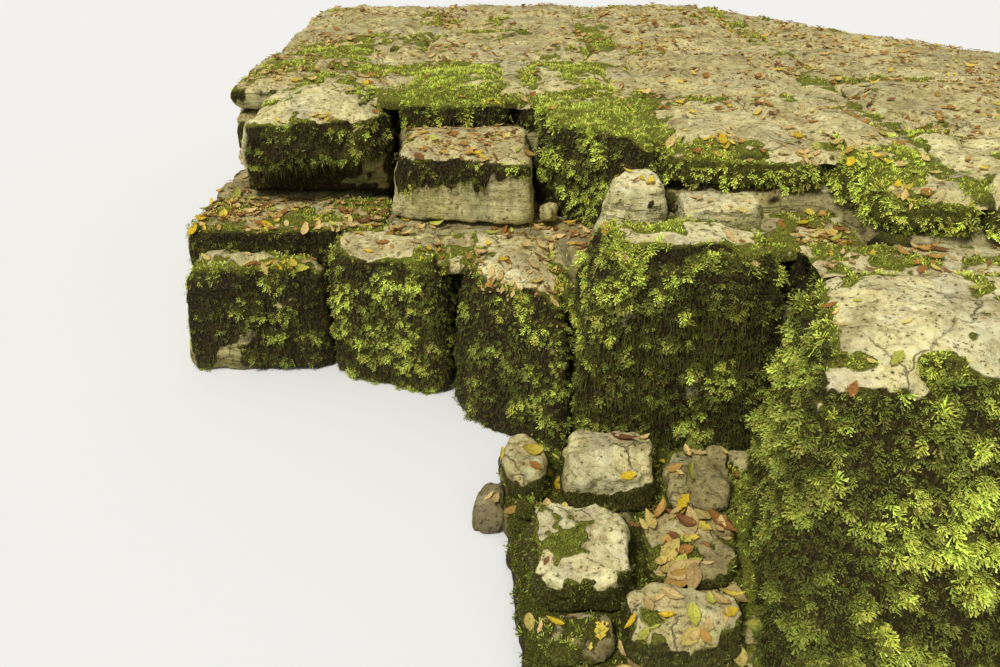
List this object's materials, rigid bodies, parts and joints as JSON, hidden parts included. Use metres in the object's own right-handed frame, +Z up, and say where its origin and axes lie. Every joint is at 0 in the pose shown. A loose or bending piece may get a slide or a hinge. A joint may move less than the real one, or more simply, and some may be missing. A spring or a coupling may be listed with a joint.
{
  "type": "stepped stone block ledge",
  "caption": "Low natural ledge of big squared, jointed limestone blocks that steps down to a pool, mossy on its faces, with a flat slab pavement on top.",
  "frame": {"origin": "middle of the footprint, on the ground the lowest stones stand on", "axes": "+X along the ledge to the east, right in the picture; +Y back from the pool, over the pavement; +Z up. The stepped face looks towards -Y."},
  "size_m": [3.62, 4.45, 0.85],
  "materials": {
    "mossy_stone": "limestone under a thick mat of moss",
    "pale_stone": "bare weathered limestone, pitted and matt",
    "grey_stone": "damp limestone with lichen spots",
    "pavement": "worn limestone slabs with thin moss and litter",
    "bedrock": "rough shaded limestone"
  },
  "bodies": {
    "root": {"low_stone": "mossy_stone", "west_block": "mossy_stone", "middle_block": "mossy_stone", "great_block": "mossy_stone", "east_block": "mossy_stone", "end_block": "mossy_stone", "west_tread": "pavement", "groove_stone_1": "pavement", "groove_stone_2": "pavement", "path_stone": "pavement", "layer_stone": "pale_stone", "layer_end_stone": "pale_stone", "undercut_stone": "bedrock", "overhanging_block": "mossy_stone", "pale_block": "pale_stone", "wedge_stone": "pale_stone", "corner_block": "mossy_stone", "edge_slab_1": "mossy_stone", "edge_slab_2": "mossy_stone", "edge_slab_3": "mossy_stone", "edge_slab_4": "mossy_stone", "edge_slab_5": "mossy_stone", "edge_slab_6": "mossy_stone", "foot_shelf": "bedrock", "foot_stone_1": "grey_stone", "foot_stone_2": "pale_stone", "foot_stone_3": "pale_stone", "foot_stone_4": "pale_stone", "foot_slabs": "grey_stone", "small_foot_stones": "mossy_stone", "pool_stone": "grey_stone", "pavement_1": "pavement", "pavement_2": "pavement", "pavement_3": "pavement", "pavement_4": "pavement", "pavement_5": "pavement", "pavement_6": "pavement", "pavement_7": "pavement", "pavement_8": "pavement", "bedrock_lower_1": "bedrock", "bedrock_lower_2": "bedrock", "bedrock_lower_3": "bedrock", "bedrock_middle_1": "bedrock", "bedrock_middle_2": "bedrock", "bedrock_middle_3": "bedrock"}
  },
  "joints": []
}
